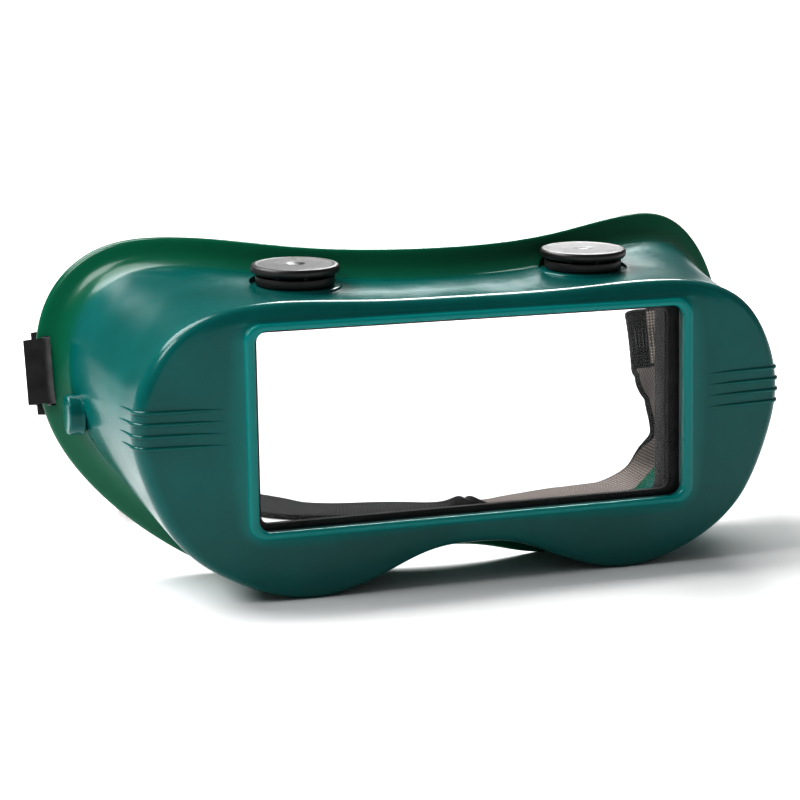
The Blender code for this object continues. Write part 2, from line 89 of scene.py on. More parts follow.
# ---------------------------------------------------------------- table and light
# The goggles stand on a plain pale table top. A broad lamp shines from behind and to the
# left, so the brow catches the light and the shadow falls forward to the right; two soft
# boxes and a dim room fill in the front.
MM = 0.001
Y_MID = 62.6                    # middle of the footprint, from the window's front plane
WINDOW_Z = 39.6                 # window centre above the table
add_to_scene = bpy.context.scene.collection.objects.link


def colour_ramp(nodes, stops):
    """A ramp node through (position, colour) stops."""
    ramp = nodes.new("ShaderNodeValToRGB")
    elements = ramp.color_ramp.elements
    while len(elements) < len(stops):
        elements.new(0.5)
    for element, (position, colour) in zip(elements, stops):
        element.position = position
        element.color = (*colour, 1.0)
    return ramp


def finish_material(name, **sockets):
    """A new material, its nodes, links and main shader with the plain values set."""
    mat = bpy.data.materials.new(name)
    mat.use_nodes = True
    nodes, links = mat.node_tree.nodes, mat.node_tree.links
    shader = nodes["Principled BSDF"]
    for key, value in sockets.items():
        shader.inputs[key.replace("_", " ")].default_value = value
    return mat, nodes, links, shader


def noise(nodes, links, coords, scale, detail=4.0, roughness=0.55):
    tex = nodes.new("ShaderNodeTexNoise")
    tex.inputs["Scale"].default_value = scale
    tex.inputs["Detail"].default_value = detail
    tex.inputs["Roughness"].default_value = roughness
    links.new(coords, tex.inputs["Vector"])
    return tex.outputs["Fac"]


def remap(nodes, links, value, low, high):
    """Stretch a 0.3..0.7 noise value to the range low..high."""
    node = nodes.new("ShaderNodeMapRange")
    node.inputs["From Min"].default_value = 0.3
    node.inputs["From Max"].default_value = 0.7
    node.inputs["To Min"].default_value = low
    node.inputs["To Max"].default_value = high
    links.new(value, node.inputs["Value"])
    return node.outputs["Result"]


def bump(nodes, links, height, distance, strength, under=None):
    node = nodes.new("ShaderNodeBump")
    node.inputs["Distance"].default_value = distance
    node.inputs["Strength"].default_value = strength
    links.new(height, node.inputs["Height"])
    if under is not None:
        links.new(under, node.inputs["Normal"])
    return node.outputs["Normal"]


def blend_colours(nodes, links, factor, first, second):
    """Mix two colours; each is an output or a plain (r, g, b)."""
    node = nodes.new("ShaderNodeMix")
    node.data_type = "RGBA"
    ins = [s for s in node.inputs if s.type == "RGBA"]
    for socket, value in zip(ins, (first, second)):
        if isinstance(value, tuple):
            socket.default_value = (*value, 1.0)
        else:
            links.new(value, socket)
    links.new(factor, node.inputs["Factor"])
    return next(s for s in node.outputs if s.type == "RGBA")


def math_node(tree, operation, *values):
    """One sum in a tree; each value is an output or a plain number."""
    node = tree.nodes.new("ShaderNodeMath")
    node.operation = operation
    for socket, value in zip(node.inputs, values):
        if isinstance(value, (int, float)):
            socket.default_value = value
        else:
            tree.links.new(value, socket)
    return node.outputs[0]


def grained(name, stops, grain, shine, relief, **sockets):
    """A plain finish: mottled tone, uneven shine and relief from noises in object space.

    grain is a noise's (scale, detail, ...); shine is a noise with the lowest and highest
    roughness; relief is one (noise, distance, strength) for each layer, lowest first."""
    mat, nodes, links, shader = finish_material(name, **sockets)
    where = nodes.new("ShaderNodeTexCoord").outputs["Object"]
    ramp = colour_ramp(nodes, stops)
    links.new(noise(nodes, links, where, *grain), ramp.inputs["Fac"])
    links.new(ramp.outputs["Color"], shader.inputs["Base Color"])
    links.new(remap(nodes, links, noise(nodes, links, where, *shine[0]), *shine[1:]),
              shader.inputs["Roughness"])
    normal = None
    for layer, distance, strength in relief:
        normal = bump(nodes, links, noise(nodes, links, where, *layer), distance, strength,
                      normal)
    links.new(normal, shader.inputs["Normal"])
    return mat


table_mat, nodes, links, shader = finish_material("table_top", Roughness=0.9)
where = nodes.new("ShaderNodeTexCoord").outputs["Object"]
ramp = colour_ramp(nodes, [(0.3, (0.86, 0.86, 0.86)), (0.7, (0.89, 0.89, 0.89))])
links.new(noise(nodes, links, where, 3.0), ramp.inputs["Fac"])
links.new(ramp.outputs["Color"], shader.inputs["Base Color"])
table_mesh = bpy.data.meshes.new("table_top")
TABLE = 40.0                    # half its side, so that no edge is seen
table_mesh.from_pydata([(-TABLE, -TABLE, 0), (TABLE, -TABLE, 0), (TABLE, TABLE, 0),
                        (-TABLE, TABLE, 0)], [], [(0, 1, 2, 3)])
table_mesh.materials.append(table_mat)
table = bpy.data.objects.new("table_top", table_mesh)
add_to_scene(table)
table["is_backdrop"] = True


def lamp(name, kind, place, target, power, **facts):
    data = bpy.data.lights.new(name, kind)
    data.energy = power
    for key, value in facts.items():
        setattr(data, key, value)
    obj = bpy.data.objects.new(name, data)
    obj.location = place
    obj.rotation_euler = (Vector(target) - Vector(place)).to_track_quat("-Z", "Y").to_euler()
    add_to_scene(obj)


lamp("back_lamp", "SUN", (-0.55, 0.55, 1.0), (0, 0, 0), 4.4, angle=radians(40))
lamp("left_box", "AREA", (-0.9, -0.1, 0.75), (0, 0, 0.04), 7.0, size=0.35)
lamp("top_box", "AREA", (0.3, 0.55, 0.55), (0, 0, 0.05), 5.0, size=0.3)
room = bpy.data.worlds.new("room")
room.use_nodes = True
nodes, links = room.node_tree.nodes, room.node_tree.links
height = nodes.new("ShaderNodeSeparateXYZ")
links.new(nodes.new("ShaderNodeTexCoord").outputs["Generated"], height.inputs["Vector"])
HORIZON, WALLS, CEILING = (1.2,) * 3, (0.16,) * 3, (0.2,) * 3
ramp = colour_ramp(nodes, [(0.0, HORIZON), (0.03, HORIZON), (0.08, WALLS), (1.0, CEILING)])
links.new(height.outputs["Z"], ramp.inputs["Fac"])
links.new(ramp.outputs["Color"], nodes["Background"].inputs["Color"])
bpy.context.scene.world = room

# the camera looks down on the left front of the goggles from arm's length
TURN, RISE, ROLL = radians(19.0), radians(9.5), radians(-1.0)
DISTANCE, LENS = 0.56, 109.1
AIM_RIGHT, AIM_UP = -0.0180, 0.00393  # from the window's centre, in metres
ahead = Vector((sin(TURN) * cos(RISE), cos(TURN) * cos(RISE), -sin(RISE)))
level = Vector((cos(TURN), -sin(TURN), 0))
upright = level.cross(ahead)
right_hand = level * cos(ROLL) + upright * sin(ROLL)
up_hand = upright * cos(ROLL) - level * sin(ROLL)
window_centre = Vector((0, -Y_MID * MM, WINDOW_Z * MM))
aim = window_centre + AIM_RIGHT * right_hand + AIM_UP * up_hand
camera_data = bpy.data.cameras.new("camera")
camera_data.lens = LENS
camera_data.sensor_width = 36.0
camera = bpy.data.objects.new("camera", camera_data)
camera.matrix_world = Matrix.Translation(aim - ahead * DISTANCE) @ Matrix(
    (right_hand, up_hand, -ahead)).transposed().to_4x4()
add_to_scene(camera)
bpy.context.scene.camera = camera
bpy.context.scene.view_settings.view_transform = "Standard"
bpy.context.scene.view_settings.gamma = 0.84


# ---------------------------------------------------------------- moulded frame
# One soft PVC moulding, about 2 mm thick and dyed a deep see-through green. It is injection
# moulded: a raised bead round the window, a rounded front edge, drooping walls and a wide
# flange that follows the cheeks and brow. The vents, the plates and the clips snap into it.
GAP = 0.3                       # clearance between pieces that push together
WINDOW_W, WINDOW_H, WINDOW_R = 105.5, 46.0, 3.0
BEAD_W, BEAD_H = 110.2, 49.2    # outer edge of the raised bead
FACE_Y = 1.3                    # front face of the moulding round the bead
WALL_T = 2.0
FLANGE_W, FLANGE_T, FLANGE_Y0 = 5.0, 2.2, 18.5
FLANGE_SIDE = 91.3              # widest place of the flange
RING_N = 288                    # points round each ring of the moulding
HOLDER_W, HOLDER_H, LIP_BACK, RAIL_BACK = 112.0, 52.0, 2.6, 12.0
VENT_X, VENT_Y, COLLAR_TOP, VENT_TILT = 36.4, 23.0, 70.0, radians(3.5)
COLLAR_R, VENT_HOLE_R = 11.0, 8.4
CLIP_Z, CLIP_EDGE, SLOT_LEN = 48.0, 0.9, 16.8
STUD_AT, STUD_R, STUD_LEN = (83.0, 47.0, 39.0), 4.8, 3.8
FRONT_OUTLINE = [(0, 28.0), (25, 28.3), (50, 29.0), (62, 27.1), (71.0, 22.3),
                 (77.8, 12.5), (80.2, 1.0), (77.5, -11.4), (69.8, -25.8), (56, -35.6),
                 (38, -39.9), (20, -35.0), (9, -31.0), (0, -30.3)]
FLANGE_OUTLINE = [(0, 36.8), (32, 37.9), (60, 40.4), (75, 38.0), (85.7, 29.0),
                  (FLANGE_SIDE, 10.0), (88.6, -6.0), (80, -19.5), (65, -32.5), (52.3, -38.8),
                  (40.5, -40.4), (29, -40.0), (20, -38.6), (11, -36.3), (0, -35.0)]


def world(points):
    """Millimetres from the window's front plane to metres on the table."""
    return (np.asarray(points, float) - (0.0, Y_MID, 0.0)) * MM


def ease(t):
    return t ** 2 * (3 - 2 * t)


def unit(rows):
    return rows / np.linalg.norm(rows, axis=1)[:, None]


def distances(points, power=1.0):
    """Distance of each point along its line, each step raised to a power."""
    steps = np.linalg.norm(np.diff(points, axis=0), axis=1) ** power
    return np.concatenate([[0], np.cumsum(steps)])


def rounded_rect(width, height, radius, n=RING_N):
    """n points round a rounded rectangle, from the bottom middle, turning through +X."""
    corner, side = n // 16, n // 9
    half = (n - 4 * corner - 2 * side) // 4
    hw, hh = width / 2, height / 2
    pts = [((hw - radius) * i / half, -hh) for i in range(half)]
    for cx, cz, start, edge in ((1, -1, -90, side), (1, 1, 0, 2 * half),
                                (-1, 1, 90, side), (-1, -1, 180, half)):
        for i in range(corner + 1):
            a = radians(start + 90 * i / corner)
            pts.append((cx * (hw - radius) + radius * cos(a),
                        cz * (hh - radius) + radius * sin(a)))
        begin = np.array(pts.pop())
        along = np.array([-sin(a), cos(a)])
        length = {side: height - 2 * radius, 2 * half: width - 2 * radius,
                  half: hw - radius}[edge]
        pts += [tuple(begin + along * length * i / edge) for i in range(edge)]
    return np.array(pts)


def closed_spline(t, values, at, period):
    """Periodic cubic spline through values at t, read at the places in at."""
    n = len(t)
    h = np.diff(np.append(t, t[0] + period))
    step = (np.roll(values, -1, axis=0) - values) / h[:, None]
    system = np.zeros((n, n))
    for i in range(n):
        system[i, i - 1] += h[i - 1]
        system[i, i] += 2 * (h[i - 1] + h[i])
        system[i, (i + 1) % n] += h[i]
    bend = np.linalg.solve(system, 6 * (step - np.roll(step, 1, axis=0)))
    at = (np.asarray(at) - t[0]) % period + t[0]
    k = np.searchsorted(t, at, side="right") - 1
    u, v = at - t[k], t[k] + h[k] - at
    nxt, hk = (k + 1) % n, h[k]
    return (bend[k].T * v ** 3 / (6 * hk) + bend[nxt].T * u ** 3 / (6 * hk)
            + (values[k].T / hk - bend[k].T * hk / 6) * v
            + (values[nxt].T / hk - bend[nxt].T * hk / 6) * u).T


def outline_ring(half_points, n=RING_N):
    """n evenly spaced points round a mirrored outline, from the bottom middle."""
    right = np.array(half_points, float)[::-1]
    loop = np.concatenate([right, right[-2:0:-1] * (-1, 1)])
    t = distances(np.append(loop, loop[:1], axis=0))
    dense_t = np.linspace(0, t[-1], 2001)
    dense = closed_spline(t[:-1], loop, dense_t, t[-1])
    length = distances(dense)
    at = np.interp(np.linspace(0, length[-1], n, endpoint=False), length, dense_t)
    return closed_spline(t[:-1], loop, at, t[-1])


def ring_normals(ring):
    along = np.roll(ring, -1, axis=0) - np.roll(ring, 1, axis=0)
    return unit(np.stack([along[:, 1], -along[:, 0]], axis=1))


def inset(ring, distance):
    return ring - ring_normals(ring) * np.reshape(distance, (-1, 1))


def flange_y(x, z):
    """Depth of the flange's middle surface at a place about the window's centre."""
    curve = 0.12 * (np.sqrt(x ** 2 + 100) - 10) + x ** 2 / 290
    lean = 0.105 * z + 0.195 * (np.sqrt(z ** 2 + 64) - 8)
    nose = 2.6 * np.exp(-(x / 18) ** 2) * (0.5 - 0.5 * np.tanh(z / 12))
    return FLANGE_Y0 + curve + lean + nose


def in_space(ring, y):
    y = np.broadcast_to(y, (len(ring),))
    return np.stack([ring[:, 0], y, ring[:, 1] + WINDOW_Z], axis=1)


def new_piece(name, verts, faces, mat, smooth_deg=40.0):
    """A mesh object from points in metres, its faces turned outwards."""
    mesh = bpy.data.meshes.new(name)
    mesh.from_pydata([tuple(v) for v in verts], [], faces)
    bm = bmesh.new()
    bm.from_mesh(mesh)
    bmesh.ops.recalc_face_normals(bm, faces=bm.faces)
    bm.to_mesh(mesh)
    bm.free()
    obj = bpy.data.objects.new(name, mesh)
    add_to_scene(obj)
    if mat is not None:
        mesh.materials.append(mat)
    mesh.shade_smooth()
    mesh.set_sharp_from_angle(angle=radians(smooth_deg))
    return obj


def loft(rings, closed=True, caps=True):
    """Quads between rings of equal length; the last meets the first when closed."""
    n, count = len(rings[0]), len(rings)
    faces = []
    for k in range(count if closed else count - 1):
        a, b = k * n, ((k + 1) % count) * n
        faces += [(a + i, a + (i + 1) % n, b + (i + 1) % n, b + i) for i in range(n)]
    if caps and not closed:
        faces.append(tuple(range(n)))
        faces.append(tuple((count - 1) * n + i for i in reversed(range(n))))
    return np.concatenate(rings), faces


def lathe(name, profile, axes, mat, n=64):
    """Turn a (radius, height) profile in mm about the Z of axes; ends on the axis are poles."""
    on_axis = profile[0][0] == 0
    turned = profile[1:-1] if on_axis else profile
    angles = np.linspace(0, 2 * pi, n, endpoint=False)
    rings = [np.array([axes @ Vector((r * cos(a), r * sin(a), h)) for a in angles])
             for r, h in turned]
    verts, faces = loft(rings, closed=not on_axis, caps=False)
    if on_axis:
        last = (len(rings) - 1) * n
        poles = [axes @ Vector((0, 0, profile[k][1])) for k in (0, -1)]
        verts = np.concatenate([verts, np.array(poles)])
        for i in range(n):
            j = (i + 1) % n
            faces += [(len(verts) - 2, j, i), (len(verts) - 1, last + i, last + j)]
    return new_piece(name, world(verts), faces, mat, 35.0)


def softened(points, radius, steps=3):
    """A closed or open (r, h) profile with its inner corners rounded off."""
    out = [points[0]]
    for before, corner, after in zip(points, points[1:], points[2:]):
        a, b, c = (np.array(p, float) for p in (before, corner, after))
        la, lc = np.linalg.norm(a - b), np.linalg.norm(c - b)
        r = min(radius, 0.45 * la, 0.45 * lc)
        p, q = b + (a - b) / la * r, b + (c - b) / lc * r
        for t in np.linspace(0, 1, steps + 1):
            out.append(tuple((1 - t) ** 2 * p + 2 * t * (1 - t) * b + t ** 2 * q))
    out.append(points[-1])
    return out


BOX_FACES = [(0, 1, 3, 2), (4, 6, 7, 5), (0, 4, 5, 1), (2, 3, 7, 6), (0, 2, 6, 4), (1, 5, 7, 3)]


def block(name, low, high, axes=Matrix.Identity(4)):
    """A plain box in mm, used to cut or to build up another piece."""
    pts = [axes @ Vector((x, y, z)) for x in (low[0], high[0]) for y in (low[1], high[1])
           for z in (low[2], high[2])]
    return new_piece(name, world(pts), BOX_FACES, None, 30.0)


def shaped_mesh(obj):
    """A new plain mesh of an object as its modifiers leave it."""
    return bpy.data.meshes.new_from_object(
        obj.evaluated_get(bpy.context.evaluated_depsgraph_get()))


def combine(obj, other, operation):
    """Join or cut obj with a helper shape, which is then thrown away."""
    mod = obj.modifiers.new("shape", "BOOLEAN")
    mod.operation = operation
    mod.solver = "EXACT"
    mod.object = other
    obj.data = shaped_mesh(obj)
    obj.modifiers.clear()
    bpy.data.objects.remove(other, do_unlink=True)


def refinish(obj, mat, sharp_deg):
    """Give a piece its one material and its smooth and sharp edges back after cutting."""
    obj.data.materials.clear()
    obj.data.materials.append(mat)
    obj.data.shade_smooth()
    obj.data.set_sharp_from_angle(angle=radians(sharp_deg))


def vent_axes(side):
    return Matrix.Translation((side * VENT_X, VENT_Y, COLLAR_TOP)) @ Matrix.Rotation(
        VENT_TILT, 4, "X")


def temple_axes(side):
    """Axes at a strap clip: X out along the flange, Y back from it, Z up its edge."""
    z_rel, x = CLIP_Z - WINDOW_Z, FLANGE_SIDE - CLIP_EDGE
    slope_x = 0.12 * x / (x ** 2 + 100) ** 0.5 + 2 * x / 290
    slope_z = 0.105 + 0.195 * z_rel / (z_rel ** 2 + 64) ** 0.5
    up = Vector((0, slope_z, 1)).normalized()
    back = up.cross(Vector((1, slope_x, 0))).normalized()
    axes = Matrix((back.cross(up), back, up)).transposed().to_4x4()
    axes.translation = Vector((x, float(flange_y(x, z_rel)), CLIP_Z))
    return axes if side > 0 else Matrix.Diagonal((-1, 1, 1, 1)) @ axes


# deep green vinyl: flow marks from the gate, a painted glow where light would come through the
# thin flange edge, a painted highlight on the bead, a soft shine
pvc_mat, nodes, links, shader = finish_material(
    "green_vinyl", IOR=1.5, Subsurface_Weight=0.03, Subsurface_Scale=0.003,
    Specular_IOR_Level=0.2, Coat_Weight=0.08, Coat_Roughness=0.04)
shader.inputs["Subsurface Radius"].default_value = (0.15, 1.0, 0.75)
where = nodes.new("ShaderNodeTexCoord").outputs["Object"]
# painted glow: the flange's thin edge turns greener, as if lit through
edge = nodes.new("ShaderNodeAttribute")
edge.attribute_name = "painted_flange_glow"
bead_highlight = nodes.new("ShaderNodeAttribute")
bead_highlight.attribute_name = "bead"
flow = noise(nodes, links, where, 26.0, 5.0, 0.6)
ramp = colour_ramp(nodes, [(0.3, (0.0001, 0.078, 0.070)), (0.55, (0.0001, 0.100, 0.092)),
                           (0.75, (0.0002, 0.125, 0.114))])
links.new(flow, ramp.inputs["Fac"])
tone = blend_colours(nodes, links, edge.outputs["Fac"], ramp.outputs["Color"],
                     (0.0002, 0.100, 0.050))
# painted highlight: the bead's front is a brighter teal
tone = blend_colours(nodes, links, bead_highlight.outputs["Fac"], tone, (0.0002, 0.225, 0.212))
links.new(tone, shader.inputs["Base Color"])
links.new(remap(nodes, links, noise(nodes, links, where, 70.0), 0.16, 0.27),
          shader.inputs["Roughness"])
wavy = bump(nodes, links, noise(nodes, links, where, 55.0, 2.0), 0.0008, 0.25)
links.new(bump(nodes, links, noise(nodes, links, where, 900.0, 2.0), 0.0001, 0.12, wavy),
          shader.inputs["Normal"])


def frame_rings():
    """Rings of the section: window wall, bead, face, rounded edge, wall, flange, inside.

    Also gives the rings of the outer skin from the front face to the flange's root."""
    outline, flange = outline_ring(FRONT_OUTLINE), outline_ring(FLANGE_OUTLINE)
    sideways = ring_normals(outline)[:, 0] ** 2
    nose = np.exp(-(outline[:, 0] / 17) ** 2) * (outline[:, 1] < 0)
    edge = inset(outline, 2.0 + 1.5 * sideways)
    edge_y = 1.7 + 1.3 * sideways
    equator_y = 4.5 + 3.5 * sideways

    def bead_rect(f, grow=0.0):
        return rounded_rect(WINDOW_W + (BEAD_W - WINDOW_W) * f + grow,
                            WINDOW_H + (BEAD_H - WINDOW_H) * f + grow, WINDOW_R + f)

    rings = [in_space(bead_rect(0.0), y) for y in (3.6, 2.2, 1.2)]
    for f in (0.0, 0.03, 0.1, 0.22, 0.38, 0.55, 0.72, 0.86, 0.95, 1.0):
        crest = 0.7 * (1 - (1 - abs(2 * f - 1) ** 3) ** (1 / 2.2))
        rings.append(in_space(bead_rect(f), crest))
    rings += [in_space(bead_rect(1.0, 0.05), 0.95), in_space(bead_rect(1.0, 0.22), 1.17),
              in_space(bead_rect(1.0, 0.6), FACE_Y - 0.01)]
    foot = bead_rect(1.0, 0.6)
    skin = []
    for t in (0.2, 0.45, 0.7, 0.9):
        skin.append(in_space(foot + (edge - foot) * t,
                             FACE_Y + (edge_y - FACE_Y) * (t + t ** 3) / 2))
    for a in np.radians(np.arange(0, 91, 7.5)):
        ring = edge + (outline - edge) * sin(a)
        skin.append(in_space(ring, equator_y - (equator_y - edge_y) * cos(a)))

    def flange_ring(distance, offset):
        ring = inset(flange, distance)
        return in_space(ring, flange_y(ring[:, 0], ring[:, 1]) + offset)

    start, root = skin[-1], flange_ring(FLANGE_W + 1.6, -FLANGE_T / 2 - 2.4)
    lift = 1.3 + 2.3 * nose
    for t in np.linspace(0, 1, 21)[1:]:
        ring = start + (root - start) * (t ** lift)[:, None]
        ring[:, 1] = start[:, 1] + (root[:, 1] - start[:, 1]) * t
        skin.append(ring)
    rings += skin
    half = FLANGE_T / 2
    for distance, offset in (
            (6.0, -half - 1.7), (5.4, -half - 1.1), (4.7, -half - 0.55), (3.9, -half - 0.15),
            (3.0, -half), (1.6, -half), (0.8, -half), (0.35, -0.95), (0.08, -0.55), (0.0, 0.0),
            (0.08, 0.55), (0.35, 0.95), (0.8, half), (3.0, half), (5.2, half),
            (FLANGE_W + 2.2, half), (FLANGE_W + 2.8, half - 0.4),
            (FLANGE_W + 3.4, half - 1.4)):
        rings.append(flange_ring(distance, offset))
    # the inside follows the wall at its thickness, up to where the wall begins
    for outside in reversed(skin[17:-1:2]):
        ring = inset(outside[:, [0, 2]], WALL_T)
        rings.append(np.stack([ring[:, 0], outside[:, 1] + 0.3, ring[:, 1]], axis=1))
    inner_edge = inset(outline, 3.4 + 1.5 * sideways)
    rings.append(in_space(inner_edge, edge_y + 2.2))
    rings.append(in_space(rounded_rect(BEAD_W, BEAD_H, WINDOW_R), 3.9))
    return rings, skin


section_rings, skin_rings = frame_rings()
verts, faces = loft(section_rings)
goggle_frame = new_piece("moulded_frame", world(verts), faces, pvc_mat)
# the pocket for the plates is cut in a solid web behind the bead
WEB_LOW, WEB_HIGH = (-58.3, 3.0, WINDOW_Z - 29.1), (58.3, 9.6, WINDOW_Z + 27.1)
combine(goggle_frame, block("web", WEB_LOW, WEB_HIGH), "UNION")
for side in (-1, 1):
    room_cut = lathe("room", [(0, -0.5), (COLLAR_R - 0.3, -0.5), (COLLAR_R - 0.3, 9), (0, 9)],
                     vent_axes(side), None)
    combine(goggle_frame, room_cut, "DIFFERENCE")
    collar = softened([(0, -4.6), (13.0, -4.6), (COLLAR_R + 0.25, -2.6), (COLLAR_R, 0), (0, 0)],
                      0.7, 4)
    combine(goggle_frame, lathe("collar", collar, vent_axes(side), None), "UNION")
clear_w, clear_h = HOLDER_W / 2 + GAP, HOLDER_H / 2 + GAP
combine(goggle_frame, block("pocket", (-clear_w, LIP_BACK, WINDOW_Z - clear_h),
                            (clear_w, RAIL_BACK + 0.6, WINDOW_Z + clear_h)), "DIFFERENCE")
for side in (-1, 1):
    hole = lathe("hole", [(0, -12), (VENT_HOLE_R, -12), (VENT_HOLE_R, 3), (0, 3)],
                 vent_axes(side), None)
    combine(goggle_frame, hole, "DIFFERENCE")
    slot = block("slot", (-3.6, -5.0, -SLOT_LEN / 2), (-1.15, 5.0, SLOT_LEN / 2),
                 temple_axes(side))
    combine(goggle_frame, slot, "DIFFERENCE")
    stud_axes = Matrix.Translation((side * STUD_AT[0], *STUD_AT[1:])) @ Matrix.Rotation(
        side * radians(90), 4, "Y")
    stud = softened([(0, 0), (STUD_R + 0.4, 0), (STUD_R, 0.8), (STUD_R, STUD_LEN),
                     (0, STUD_LEN)], 0.8, 4)
    combine(goggle_frame, lathe("stud", stud, stud_axes, None), "UNION")
combine(goggle_frame, block("below", (-80, -5, -6), (80, 70, 0)), "DIFFERENCE")

# painted light, kept as attributes of the moulding: a greener glow at the flange's thin edge,
# where light would come through, and a highlight on the bead's front
mesh = goggle_frame.data
co = np.empty(len(mesh.vertices) * 3)
mesh.vertices.foreach_get("co", co)
co = co.reshape(-1, 3) / MM + (0.0, Y_MID, -WINDOW_Z)
# painted glow: how near each point is to the flange's thin edge
near_flange = np.clip((co[:, 1] - flange_y(co[:, 0], co[:, 2]) + 6.0) / 4.5, 0, 1)
flange_glow = mesh.attributes.new("painted_flange_glow", "FLOAT", "POINT")
flange_glow.data.foreach_set("value", (ease(near_flange)).astype(np.float32))
# painted highlight: the front of the raised bead
on_bead = (np.abs(co[:, 0]) < BEAD_W / 2 + 0.3) & (np.abs(co[:, 2]) < BEAD_H / 2 + 0.3)
bead = mesh.attributes.new("bead", "FLOAT", "POINT")
bead.data.foreach_set("value", (on_bead * np.clip((1.6 - co[:, 1]) / 0.8, 0, 1)
                                ).astype(np.float32))
refinish(goggle_frame, pvc_mat, 38)
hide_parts("frame")
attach(goggle_frame, "goggles")


# ---------------------------------------------------------------- grip ribs at the ends
# Four low ribs are moulded across each end of the frame, where a gloved thumb and finger hold
# it. They are part of the same vinyl, run round the rounded edge and fade out into the wall.
RIB_HEIGHTS = (-2.2, 0.5, 3.2, 5.9)  # about the window's centre
RIB_R, RIB_SIDES, RIB_FADE = 0.5, 12, 0.3
RIB_RINGS = skin_rings[:21]     # from the front face back to the middle of the wall


def socket_id(tree, name):
    return next(s.identifier for s in tree.interface.items_tree
                if s.item_type == "SOCKET" and s.in_out == "INPUT" and s.name == name)


def add_node(tree, kind, **inputs):
    """A geometry node with its inputs linked, or set where they are plain values."""
    node = tree.nodes.new("GeometryNode" + kind)
    for key, value in inputs.items():
        socket = node.inputs[key.replace("_", " ")]
        if isinstance(value, bpy.types.NodeSocket):
            tree.links.new(value, socket)
        else:
            socket.default_value = value
    return node


def new_tree(name, inputs):
    """A geometry tree with a geometry way in and out and named number or material inputs."""
    tree = bpy.data.node_groups.new(name, "GeometryNodeTree")
    tree.is_modifier = True
    tree.interface.new_socket("Geometry", in_out="INPUT", socket_type="NodeSocketGeometry")
    tree.interface.new_socket("Geometry", in_out="OUTPUT", socket_type="NodeSocketGeometry")
    for key, kind in inputs:
        tree.interface.new_socket(key, in_out="INPUT", socket_type="NodeSocket" + kind)
    return tree, tree.nodes.new("NodeGroupInput"), tree.nodes.new("NodeGroupOutput")


def close_tree(tree, given, out, last):
    """End a tree: real geometry, smooth, with its material."""
    real = add_node(tree, "RealizeInstances", Geometry=last)
    smooth = add_node(tree, "SetShadeSmooth", Geometry=real.outputs["Geometry"])
    finish = add_node(tree, "SetMaterial", Geometry=smooth.outputs["Geometry"],
                      Material=given.outputs["Material"])
    tree.links.new(finish.outputs["Geometry"], out.inputs["Geometry"])


def run_tree(name, tree, values, base=None, axes=None):
    """Run a tree, on a base if it needs one, and keep it as one plain mesh set on axes in mm."""
    base = base or new_piece("base", [(0, 0, 0)], [], None)
    mod = base.modifiers.new("make", "NODES")
    mod.node_group = tree
    for key, value in values.items():
        mod[socket_id(tree, key)] = value
    made = shaped_mesh(base)
    bpy.data.objects.remove(base, do_unlink=True)
    if axes is not None:
        made.transform(Matrix.Translation((0, -Y_MID * MM, 0)) @ Matrix.Scale(MM, 4) @ axes
                       @ Matrix.Scale(1 / MM, 4))
    made.name = name
    obj = bpy.data.objects.new(name, made)
    add_to_scene(obj)
    return obj


rib_tree, given, out = new_tree("grip_ribs", [("Radius", "Float"), ("Sides", "Int"),
                                              ("Fade", "Float"), ("Material", "Material")])
along = rib_tree.nodes.new("GeometryNodeSplineParameter").outputs["Factor"]
near_end = math_node(rib_tree, "MINIMUM", along, math_node(rib_tree, "SUBTRACT", 1.0, along))
fade = math_node(rib_tree, "DIVIDE", near_end, given.outputs["Fade"])
fade = math_node(rib_tree, "POWER", math_node(rib_tree, "MINIMUM", fade, 1.0), 0.6)
size = add_node(rib_tree, "SetCurveRadius", Curve=given.outputs["Geometry"],
                Radius=math_node(rib_tree, "MAXIMUM", fade, 0.02))
circle = add_node(rib_tree, "CurvePrimitiveCircle", Radius=given.outputs["Radius"],
                  Resolution=given.outputs["Sides"])
sweep = add_node(rib_tree, "CurveToMesh", Curve=size.outputs["Curve"], Fill_Caps=True,
                 Profile_Curve=circle.outputs["Curve"],
                 Scale=add_node(rib_tree, "InputRadius").outputs["Radius"])
close_tree(rib_tree, given, out, sweep.outputs["Mesh"])

rib_lines = bpy.data.curves.new("rib_lines", "CURVE")
rib_lines.dimensions = "3D"
for side in (-1, 1):
    for height in RIB_HEIGHTS:
        path, level_z = [], height + WINDOW_Z
        for ring in RIB_RINGS:
            half_ring = ring[ring[:, 0] * side > BEAD_W / 2]
            half_ring = half_ring[np.argsort(half_ring[:, 2])]
            path.append([np.interp(level_z, half_ring[:, 2], half_ring[:, 0]),
                         np.interp(level_z, half_ring[:, 2], half_ring[:, 1]), level_z])
        spline = rib_lines.splines.new("POLY")
        spline.points.add(len(path) - 1)
        for point, place in zip(spline.points, world(path)):
            point.co = (*place, 1.0)
rib_base = bpy.data.objects.new("rib_lines", rib_lines)
add_to_scene(rib_base)
grip_ribs = run_tree("grip_ribs", rib_tree, {"Radius": RIB_R * MM, "Sides": RIB_SIDES,
                                             "Fade": RIB_FADE, "Material": pvc_mat}, rib_base)
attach(grip_ribs, "goggles")


# ---------------------------------------------------------------- plates, gasket and holder
# Two clear 50 x 108 mm plates stand in a black moulded holder with a rubber spacer between
# them. The holder is polypropylene with rounded rims, pushed into the pocket behind the bead.
holder_mat = grained(
    "holder_polypropylene", [(0.35, (0.0015, 0.0016, 0.0017)), (0.7, (0.004, 0.0043, 0.0045))],
    (120.0, 6.0), ((300.0,), 0.42, 0.6), [((2500.0, 3.0), 0.00006, 0.35)],
    IOR=1.49, Specular_IOR_Level=0.2)

